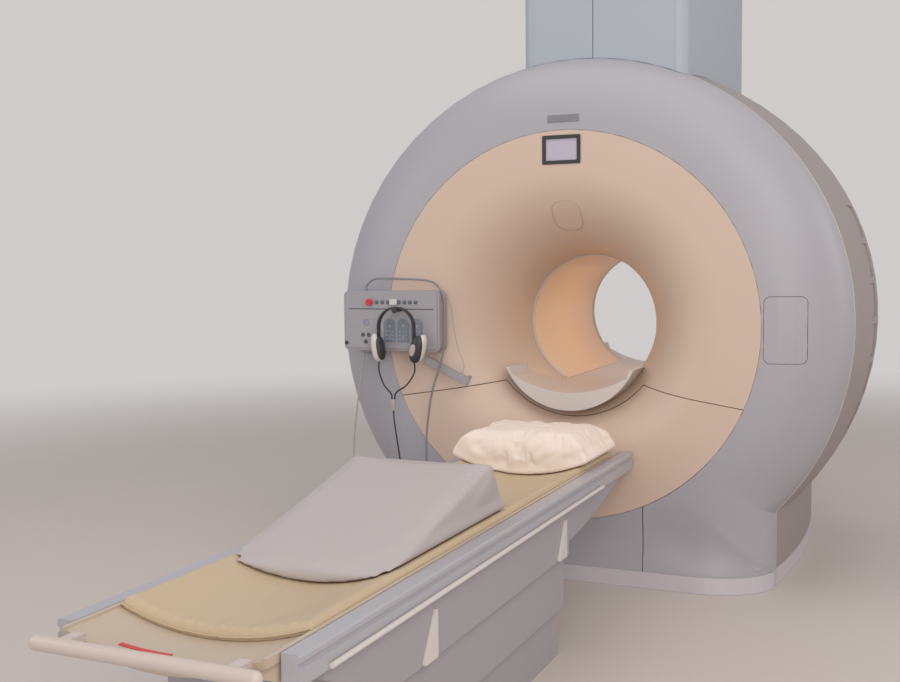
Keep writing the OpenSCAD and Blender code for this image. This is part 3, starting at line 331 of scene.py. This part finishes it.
def smooth_route(points, per=6):
    """one smooth curve through points given in millimetres, returned in metres"""
    pts = [Vector(p) / 1000 for p in points]
    ends = [2 * pts[0] - pts[1]] + pts + [2 * pts[-1] - pts[-2]]
    out = []
    for i in range(len(pts) - 1):
        a, b, c, d = ends[i:i + 4]
        for k in range(per):
            t = k / per
            out.append(0.5 * (2 * b + (c - a) * t + (2 * a - 5 * b + 4 * c - d) * t * t
                              + (3 * b - a - 3 * c + d) * t ** 3))
    return out + [pts[-1]]


def cord(name, route, diameter, slot, own=()):
    """cord that leaves the object at the last point of its route"""
    pts = smooth_route(route)
    pts.reverse()
    o = round_bar(name, pts, diameter / 2, 3, slot, "scanner")
    if own:
        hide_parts(*own)


SLEEVE = [(0.006, 0), (0.0075, 0.001), (0.0095, 0.02), (0.0115, 0.045), (0.0105, 0.05)]
sleeve = turned("lead_sleeve", SLEEVE, (-0.728, -0.996, 0.700), "pale_cord", "scanner")
cord("headset_lead_main", LEAD_MAIN, LEAD_D, "dark_cord", ("headset_lead",))
cord("headset_lead_left", LEAD_LEFT, LEAD_D, "dark_cord")
cord("headset_lead_right", LEAD_RIGHT, LEAD_D, "dark_cord")
cord("panel_cable_run", CABLE, CABLE_D, "grey_cord", own=("panel_cable",))
cord("panel_wire_run", WIRE, WIRE_D, "pale_cord", own=("panel_wire",))
cord("panel_lead_run", PALE, LEAD_D, "pale_cord", own=("panel_lead",))

# mattress, lying in the tabletop's trough
TROUGH_Z, TROUGH_R = 1.215, 0.700
MAT_T, MAT_RIM, MAT_ROLL = 0.028, 0.006, 0.022
MAT_X, MAT_Y0, MAT_Y1 = 0.248, -3.315, -0.995
MAT_THIN, MAT_OVER = 0.004, 0.0005
WELT_R, WELT_UP, WELT_OUT, WELT_N = 0.0024, 0.0085, 0.001, 120


def noise(x, y, z=0.0):
    return bl_noise.noise(Vector((x, y, z)))


def trough_z(x, above=0.0):
    return TROUGH_Z - math.sqrt((TROUGH_R - above) ** 2 - x * x)


def edge_round(d, r):
    return 1.0 if d >= r else math.sqrt(max(0.0, 1 - (1 - d / r) ** 2))


def foot_bow(x):
    """how far the mattress's foot edge waves along y"""
    return 0.006 * math.sin(9 * x)


def mattress_height(u, v):
    """place on the mattress and its height there, gathered at the ends and sides and creased"""
    x = MAT_X * u
    y = (MAT_Y0 + MAT_Y1) / 2 + (MAT_Y1 - MAT_Y0) / 2 * v
    near = min(y - MAT_Y0, MAT_Y1 - y)
    side = MAT_X - abs(x)
    h = (MAT_T - MAT_RIM) * edge_round(min(near, side), MAT_ROLL) + MAT_RIM
    end_waves = math.sin(x * 210 + 3 * noise(x * 9, y * 2)) * 0.0016 + 0.004 * noise(x * 40, y * 9, 2)
    gather = math.exp(-near / 0.035) * end_waves
    side_gather = math.exp(-side / 0.02) * 0.0022 * noise(x * 12, y * 22, 5)
    ease = 0.0016 * noise(x * 3.5, y * 2.2, 8) + 0.0011 * noise(x * 15, y * 3.5, 11)
    crease = 0.0018 * max(0, 1 - abs(noise(x * 4, y * 1.6, 3)) * 14) * math.exp(-near / 0.35)
    return x, y, max(MAT_THIN, h + gather + side_gather + ease - 0.002 - crease)


def mattress_skin(u, v, height=None):
    x, y, h = mattress_height(u, v)
    bow = foot_bow(x) if v < -0.98 else 0
    return (x, y + bow, trough_z(x, h if height is None else height))


def welted(h):
    """line along the foot edge of the mattress, h above the tabletop"""
    out = []
    for k in range(WELT_N):
        x = MAT_X * (-1 + 2 * k / (WELT_N - 1))
        out.append((x, MAT_Y0 - WELT_OUT + foot_bow(x), trough_z(x, h) + 0.0012 * noise(x * 60, 1, 4)))
    return out


mattress = closed_sheet("mattress_pad", 96, 300, mattress_skin, lambda u, v: mattress_skin(u, v, MAT_OVER),
                        "yellow_vinyl", CARRIAGE)
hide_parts("mattress")
round_bar("mattress_welt", welted(WELT_UP), WELT_R, 2, "yellow_vinyl", CARRIAGE)

# wedge and pillow: soft copies of their solids, blown up as cloth and resting on the mattress
CLOTH_FRAMES = 20
ON_X = 0.29  # half width past which the height they rest at stays the same


def on_mattress(x):
    x = min(abs(x), ON_X)
    return TROUGH_Z - math.sqrt((TROUGH_R - MAT_T) ** 2 - x * x)


def remeshed(name, node, voxel, shrink, iterations, foot, wide):
    """even mesh of a CAD solid drawn in by shrink, shorter by foot at its foot end and wider by wide"""
    src = nodes[node].data.copy()
    lo, hi = [Vector(c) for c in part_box(node)]
    mid = (lo + hi) / 2
    for v in src.vertices:
        for k in range(2):
            half = (hi[k] - lo[k]) / 2
            v.co[k] = mid[k] + (v.co[k] - mid[k]) * (half - shrink + (wide if k == 0 else 0)) / half
        v.co.y += foot * (hi.y - v.co.y) / (hi.y - lo.y)
        if v.co.z > on_mattress(v.co.x) + 0.02:
            v.co.z -= shrink
    o = bpy.data.objects.new(name, src)
    scene.collection.objects.link(o)
    m = o.modifiers.new("voxels", "REMESH")
    m.mode = "VOXEL"
    m.voxel_size = voxel
    o.modifiers.new("soften", "SMOOTH").iterations = iterations
    dg = bpy.context.evaluated_depsgraph_get()
    me = bpy.data.meshes.new_from_object(o.evaluated_get(dg))
    o.modifiers.clear()
    o.data = me
    return o


def blow_up(o, pressure, cap):
    """cloth under pressure, moving a vertex by cap at most, and less where it rests"""
    me = o.data
    rest = [v.co.copy() for v in me.vertices]
    c = o.modifiers.new("cloth", "CLOTH")
    st = c.settings
    st.quality = 5
    st.mass = 0.3
    st.tension_stiffness = st.compression_stiffness = 12
    st.shear_stiffness = 5
    st.bending_stiffness = 0.6
    st.use_pressure = True
    st.uniform_pressure_force = pressure
    st.effector_weights.gravity = 0
    c.point_cache.frame_start, c.point_cache.frame_end = 1, CLOTH_FRAMES
    for k in range(1, CLOTH_FRAMES + 1):
        scene.frame_set(k)
    done = o.evaluated_get(bpy.context.evaluated_depsgraph_get()).to_mesh()
    blown = [v.co.copy() for v in done.vertices]
    o.modifiers.clear()
    scene.frame_set(1)
    for v, a, b in zip(me.vertices, rest, blown):
        d = b - a
        hold = min(1, max(0, (a.z - on_mattress(a.x) - 0.012) / 0.03))
        if d.length > cap:
            d *= cap / d.length
        v.co = a + d * hold


def puffed(name, node, slot, wrinkle, voxel, cap, pressure, shrink, iterations, foot=0.0, wide=0.0):
    """soft piece in the place of node, creased by wrinkle along its normals"""
    o = remeshed(name, node, voxel, shrink, iterations, foot, wide)
    me = o.data
    blow_up(o, pressure, cap)
    me.update()
    normals = [v.normal.copy() for v in me.vertices]
    for v, nrm in zip(me.vertices, normals):
        hold = min(1, max(0.15, (v.co.z - on_mattress(v.co.x) - 0.006) / 0.03))
        v.co += nrm * wrinkle(v.co) * hold
        v.co.z = max(v.co.z, on_mattress(v.co.x) + 0.0006)
    me.shade_smooth()
    me.materials.clear()
    me.materials.append(SLOTS[slot])
    sub = o.modifiers.new("round", "SUBSURF")
    sub.levels = sub.render_levels = 1
    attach(o, CARRIAGE)
    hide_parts(node)


def wedge_creases(p):
    return 0.0010 * noise(p.x * 5, p.y * 4, p.z * 5) + 0.0007 * noise(p.x * 17, p.y * 13, p.z * 15)


def pillow_creases(p):
    q = Vector((p.x * 5.2, p.y * 7.5, p.z * 5))
    fold = 1 - min(1, abs(noise(q.x * 1.5 + 2.2 * noise(q.x, q.y, 4), q.y * 0.9, q.z)) * 4.5)
    fine = 1 - min(1, abs(noise(q.x * 4.2, q.y * 2.6 + noise(q.x * 2, q.y, 9), q.z * 2)) * 3.5)
    sag = 0.010 * noise(p.x * 4.0, p.y * 5.0, 1.7)
    return -0.0055 * fold - 0.0022 * fine + sag + 0.003


puffed("wedge_pad", "wedge_cushion", "wedge_grey", wedge_creases, voxel=0.0075, cap=0.006, pressure=3.0,
       shrink=0.003, iterations=4, foot=0.085)
puffed("pillow_case", "pillow", "pillow_cloth", pillow_creases, voxel=0.0070, cap=0.020, pressure=4.0,
       shrink=0.016, iterations=10, wide=0.016)

# control panel: keys with small domes, a white box, sockets, keypad keys and a knob
CTL_X, CTL_Z, CTL_FRONT, FACE_Y = -0.755, 1.087, -0.955, -0.958
STOP_X, KEY_Z = CTL_X - 0.101, CTL_Z + 0.082
KEYS, KEY_PITCH, KEY_FROM = 8, 0.027, 0.034
KEY_TOP, SEAT = 0.0019, 0.0012  # keys stand out of the face, sockets sit into it
PADS, PAD_X0, PAD_PITCH, PAD_BASE = 3, CTL_X - 0.006, 0.066, CTL_Z - 0.092
PAD_KEYS, PAD_STEP, PAD_ROW, PAD_ROW0 = 3, 0.0150, 0.0165, 0.013
PAD_KEY_W, PAD_KEY_H = 0.0052, 0.0045  # half sizes
DOME = [(0.0064, 0), (0.0062, 0.0012), (0.0048, 0.0024), (0.0020, 0.0030)]
RING = [(0.0155, 0), (0.0155, 0.0030), (0.0125, 0.0038), (0.0112, 0.0018), (0.0104, 0.0010)]
SMALL_RING = [(0.0085, 0), (0.0085, 0.0026), (0.0062, 0.0030), (0.0050, 0.0010)]
SMALL_AT = ((-0.138, -0.062), (-0.110, -0.062), (-0.124, -0.092))
KNOB = [(0.0085, 0), (0.0085, 0.006), (0.0070, 0.0085), (0.0030, 0.0095)]
PAD_KEY = material("pad_key", (0.27, 0.29, 0.34), rough=0.45, bevel=0.0008, grain=0.1)
WHITE_PART = material("white_part", (0.62, 0.59, 0.57), rough=0.35, bevel=0.001, grain=0.05)
SOCKET = material("socket", (0.10, 0.10, 0.11), rough=0.4, metal=0.3, bevel=0.0006)
LINE = material("line_dark", (0.09, 0.085, 0.09), rough=0.5, bevel=0)

disc_set("key_domes", [(STOP_X + KEY_FROM + i * KEY_PITCH, FACE_Y - KEY_TOP, KEY_Z) for i in range(KEYS)],
         DOME, "key_grey")
block("panel_white_box", (STOP_X + 0.098, FACE_Y - 0.0085, KEY_Z - 0.013),
      (STOP_X + 0.134, FACE_Y + 0.0008, KEY_Z + 0.013), "panel_grey", "scanner", 0.003, WHITE_PART)
block("panel_divider", (CTL_X - 0.205, FACE_Y - 0.0006, KEY_Z - 0.0315),
      (CTL_X + 0.205, FACE_Y + 0.0012, KEY_Z - 0.0285), "panel_grey", "scanner", 0.0002, LINE)
disc_set("socket_ring", [(CTL_X - 0.120, FACE_Y + SEAT, CTL_Z - 0.006)], RING, "panel_grey", mat=PAD_KEY)
disc_set("socket_small", [(CTL_X + dx, FACE_Y + SEAT, CTL_Z + dz) for dx, dz in SMALL_AT], SMALL_RING,
         "panel_grey", mat=SOCKET)
pad_places = [(PAD_X0 + p * PAD_PITCH + (k - 1) * PAD_STEP, FACE_Y - KEY_TOP,
               PAD_BASE + PAD_ROW0 + r * PAD_ROW)
              for p in range(PADS) for r in range(PAD_KEYS) for k in range(PAD_KEYS)]
for n, (px, py, pz) in enumerate(pad_places):
    block("pad_key_%02d" % n, (px - PAD_KEY_W, py - 0.0016, pz - PAD_KEY_H),
          (px + PAD_KEY_W, py + 0.0006, pz + PAD_KEY_H), "key_grey", "scanner", 0.0011, PAD_KEY)
disc_set("panel_knob", [(CTL_X - 0.2205, CTL_FRONT + 0.0004, CTL_Z - 0.098)], KNOB, "key_grey",
         mat=SLOTS["dark_plastic"])

# headset: a long pale shell on the left, a dark cushion turned to the room on the right
LEFT_FOOT, RIGHT_FOOT = (-0.792, -1.002, 0.912), (-0.622, -1.002, 0.912)
LEFT_LEAN, RIGHT_LEAN = -0.16, 0.24


def cup(name, bottom, lean, half, slot, power=2.4, shift=(0, 0, 0), rings=20, steps=28):
    """rounded long cup whose low end is at bottom, leaning sideways by lean"""
    ax = Vector((math.sin(lean), 0, math.cos(lean)))
    side = Vector((math.cos(lean), 0, -math.sin(lean)))
    mid = Vector(bottom) + ax * half[2] + Vector(shift)
    v, f = [], []
    for i in range(1, rings):
        p = math.pi * i / rings - math.pi / 2
        r = math.cos(p) ** (2 / power)
        h = math.copysign(abs(math.sin(p)) ** (2 / power), p)
        for k in range(steps):
            a = 2 * math.pi * k / steps
            v.append(mid + side * (half[0] * r * math.cos(a)) + Vector((0, half[1] * r * math.sin(a), 0))
                     + ax * (half[2] * h))
    for i in range(rings - 2):
        for k in range(steps):
            on = (k + 1) % steps
            f.append((i * steps + k, i * steps + on, (i + 1) * steps + on, (i + 1) * steps + k))
    v += [mid - ax * half[2], mid + ax * half[2]]
    f += [(k, len(v) - 2, (k + 1) % steps) for k in range(steps)]
    top = (rings - 2) * steps
    f += [(top + k, top + (k + 1) % steps, len(v) - 1) for k in range(steps)]
    return solid(name, [tuple(p) for p in v], f, slot, "scanner")


shell = cup("headset_shell_left", LEFT_FOOT, LEFT_LEAN, (0.024, 0.026, 0.062), "warm_white")
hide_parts("headset_cups")
cup("headset_cushion_left", LEFT_FOOT, LEFT_LEAN, (0.015, 0.030, 0.052), "dark_plastic",
    shift=(0.018, 0, 0.008))
cup("headset_shell_right", RIGHT_FOOT, RIGHT_LEAN, (0.022, 0.024, 0.060), "warm_white",
    shift=(0.016, 0.006, 0.004))
cup("headset_cushion_right", RIGHT_FOOT, RIGHT_LEAN, (0.030, 0.022, 0.060), "dark_plastic",
    shift=(0, -0.006, 0))
cup("headset_felt_right", RIGHT_FOOT, RIGHT_LEAN, (0.013, 0.003, 0.026), "pale_cord",
    shift=(-0.002, -0.0275, 0.030))

# window over the bore: a plain field that follows the funnel's face, with a thin outline
MOUTH_R, BORE_R, FUNNEL_D = 0.650, 0.300, 0.480
WIN_UP, WIN_WIDE, WIN_TALL, WIN_POWER, WIN_SLOPE = 0.460, 0.0615, 0.080, 3.0, 0.748
WIN_OUT, WIN_SWELL, WIN_ROLL, WIN_IN = 0.0004, 0.0010, 0.05, 0.0060
OUTLINE_N, OUTLINE_R, OUTLINE_OUT = 96, 0.0011, 0.0006
OUTLINE = material("outline", (0.42, 0.33, 0.27), rough=0.5, bevel=0)


def funnel_point(x, up, out=0.0):
    """point on the funnel's face, up above the axis, out along the face's normal"""
    r = math.hypot(x, up)
    sin_t = min(1.0, max(0.0, (MOUTH_R - r) / (MOUTH_R - BORE_R)))
    cos_t = math.sqrt(1 - sin_t * sin_t)
    n = Vector((-x / r * FUNNEL_D * sin_t, -(MOUTH_R - BORE_R) * cos_t,
                -up / r * FUNNEL_D * sin_t)).normalized()
    return Vector((x, YF + FUNNEL_D * (1 - cos_t), AXIS_H + up)) + n * out


def window_norm(u, v):
    """measure that is 1 all along the window's round-cornered outline"""
    return (abs(u) ** WIN_POWER + abs(v) ** WIN_POWER) ** (1 / WIN_POWER)


def window_skin(u, v, out, swell=0.0):
    """point of the field, out of the funnel's face and swollen a little inside its rim"""
    m, p = max(abs(u), abs(v)), window_norm(u, v)
    k = m / p if p else 0
    inside = min(1.0, (1 - m) / WIN_ROLL)
    return tuple(funnel_point(WIN_WIDE * u * k, WIN_UP + WIN_SLOPE * WIN_TALL * v * k, out + swell * inside))


def window_rim(k):
    a = 2 * math.pi * k / OUTLINE_N
    c, d = math.cos(a), math.sin(a)
    p = window_norm(c, d)
    return tuple(funnel_point(WIN_WIDE * c / p, WIN_UP + WIN_SLOPE * WIN_TALL * d / p, OUTLINE_OUT))


window = closed_sheet("window_field", 48, 48, lambda u, v: window_skin(u, v, WIN_OUT, WIN_SWELL),
                      lambda u, v: window_skin(u, v, -WIN_IN), "warm_white", "scanner",
                      SLOTS["window_glass"])
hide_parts("laser_window")
round_bar("window_outline", [window_rim(k) for k in range(OUTLINE_N)], OUTLINE_R, 2, "funnel_peach",
          "scanner", True, OUTLINE)

# screen lines: (x from, x to, height from, height to) over the screen's lower edge
SCREEN_Z0 = AXIS_H + 0.728 - 0.044
SCREEN_LINES = ((-0.060, 0.060, 0.080, 0.0808), (-0.060, 0.060, 0.010, 0.0108),
                (-0.038, -0.0372, 0.010, 0.080), (0.054, 0.0548, 0.010, 0.080),
                (-0.022, 0.006, 0.045, 0.0458), (-0.022, 0.030, 0.030, 0.0308))
FAINT = material("screen_line", (0.47, 0.44, 0.56), rough=0.3, bevel=0)
for n, (x0, x1, z0, z1) in enumerate(SCREEN_LINES):
    block("screen_line_%d" % n, (x0, YF + 0.0006, SCREEN_Z0 + z0), (x1, YF + 0.0014, SCREEN_Z0 + z1),
          "screen_glass", "scanner", 0, FAINT)

# bare metal plate, leaning back with the ring's face
PLATE_X, PLATE_Y, PLATE_Z = (-0.060, 0.075), -0.8741, (1.910, 1.940)
PLATE_FRONT, PLATE_BACK = -0.0014, 0.0016
PLATE_TILT = math.tan(math.radians(6.3))
PLATE = material("bare_plate", (0.24, 0.235, 0.25), rough=0.35, metal=0.3, bevel=0.0006, grain=0.08)
corners = [(x, PLATE_Y + dy + (z - PLATE_Z[0]) * PLATE_TILT, z)
           for x in PLATE_X for dy in (PLATE_FRONT, PLATE_BACK) for z in PLATE_Z]
solid("ring_plate", corners, BOX_FACES, "plinth_metal", "scanner", False, 0.0005, PLATE)

# red strip across the tabletop's foot end, lying in the trough
STRIP_FROM, STRIP_RUN, STRIP_N = (-0.1435, -3.4500), (0.123, 0.0165), 12
STRIP_EDGE = ((0.0009, -0.007, 0.0002), (0.0009, -0.007, 0.0012), (-0.0009, 0.007, 0.0012),
              (-0.0009, 0.007, 0.0002))


def strip():
    v = []
    for k in range(STRIP_N + 1):
        x = STRIP_FROM[0] + STRIP_RUN[0] * k / STRIP_N
        y = STRIP_FROM[1] + STRIP_RUN[1] * k / STRIP_N
        v += [(x + dx, y + dy, trough_z(x + dx, h)) for dx, dy, h in STRIP_EDGE]
    f = [(4 * k + a, 4 * k + (a + 1) % 4, 4 * k + 4 + (a + 1) % 4, 4 * k + 4 + a)
         for k in range(STRIP_N) for a in range(4)]
    last = 4 * STRIP_N
    solid("red_strip", v, f + [(3, 2, 1, 0), (last, last + 1, last + 2, last + 3)], "signal_red", CARRIAGE,
          False)


strip()

# floor, backdrop and light
FAR_TONE = (0.62, 0.60, 0.59, 1)
FLOOR_M, FLOOR_Z = 60, -0.0005
FADE_FROM, FADE_TO = 3.2, 9.0
AMBIENT, AMBIENT_STRENGTH = (0.90, 0.90, 0.93, 1), 0.62


def plane(name, size_m, z, mat):
    me = bpy.data.meshes.new(name)
    h = size_m / 2
    me.from_pydata([(-h, -h, z), (h, -h, z), (h, h, z), (-h, h, z)], [], [(0, 1, 2, 3)])
    me.materials.append(mat)
    o = bpy.data.objects.new(name, me)
    scene.collection.objects.link(o)


def floor_material():
    """pale floor whose far parts run into the background's tone"""
    m = material("floor", (0.58, 0.51, 0.47), rough=0.6, bevel=0, tint=0.015)
    nt = m.node_tree
    n = nt.nodes
    away = n.new("ShaderNodeVectorMath")
    away.operation = "LENGTH"
    nt.links.new(n.new("ShaderNodeTexCoord").outputs["Object"], away.inputs[0])
    share = n.new("ShaderNodeMapRange")
    share.interpolation_type = "SMOOTHSTEP"
    share.inputs["From Min"].default_value = FADE_FROM
    share.inputs["From Max"].default_value = FADE_TO
    nt.links.new(away.outputs["Value"], share.inputs["Value"])
    glow = n.new("ShaderNodeEmission")
    glow.inputs["Color"].default_value = FAR_TONE
    mixed = n.new("ShaderNodeMixShader")
    nt.links.new(share.outputs["Result"], mixed.inputs[0])
    nt.links.new(n["Principled BSDF"].outputs[0], mixed.inputs[1])
    nt.links.new(glow.outputs[0], mixed.inputs[2])
    nt.links.new(mixed.outputs[0], n["Material Output"].inputs["Surface"])
    return m


def studio_world():
    """even light on the object, and a plain tone where the camera sees past it"""
    world = bpy.data.worlds.new("studio")
    scene.world = world
    world.use_nodes = True
    wt = world.node_tree
    bg = wt.nodes["Background"]
    bg.inputs["Color"].default_value = AMBIENT
    bg.inputs["Strength"].default_value = AMBIENT_STRENGTH
    back = wt.nodes.new("ShaderNodeBackground")
    back.inputs["Color"].default_value = FAR_TONE
    back.inputs["Strength"].default_value = 1.0
    path = wt.nodes.new("ShaderNodeLightPath")
    mix = wt.nodes.new("ShaderNodeMixShader")
    wt.links.new(path.outputs["Is Camera Ray"], mix.inputs[0])
    wt.links.new(bg.outputs[0], mix.inputs[1])
    wt.links.new(back.outputs[0], mix.inputs[2])
    wt.links.new(mix.outputs[0], wt.nodes["World Output"].inputs[0])


def area(name, loc, target, size_m, power, color):
    d = bpy.data.lights.new(name, "AREA")
    d.shape = "RECTANGLE"
    d.size, d.size_y = size_m
    d.energy = power
    d.color = color
    o = bpy.data.objects.new(name, d)
    o.location = loc
    o.rotation_euler = (Vector(target) - Vector(loc)).to_track_quat("-Z", "Y").to_euler()
    scene.collection.objects.link(o)
    return o


plane("studio_floor", FLOOR_M, FLOOR_Z, floor_material())
studio_world()
area("key", (3.6, -4.6, 4.4), (0.1, -0.9, 1.0), (3.0, 3.0), 88, (1.0, 0.96, 0.92))
area("fill", (-4.2, -4.6, 2.8), (-0.2, -1.2, 0.9), (3.0, 3.0), 42, (0.90, 0.94, 1.0))
area("top", (0.0, -1.6, 4.6), (0.0, -1.2, 0.5), (4.0, 3.0), 32, (1.0, 0.98, 0.95))
area("side", (4.5, 0.6, 2.4), (0.9, 0.0, 1.1), (2.0, 2.5), 20, (1.0, 0.93, 0.88))
area("low", (2.8, -7.4, 2.0), (0.3, -0.9, 0.5), (4.0, 2.6), 105, (1.0, 0.96, 0.93))
# the scanner's own bore light, a lamp that the camera doesn't see
bore_lamp = area("bore", (0.0, 0.1, 1.33), (0.0, 0.1, 0.9), (0.25, 0.7), 1.0, (1.0, 0.78, 0.54))
bore_lamp.visible_camera = False
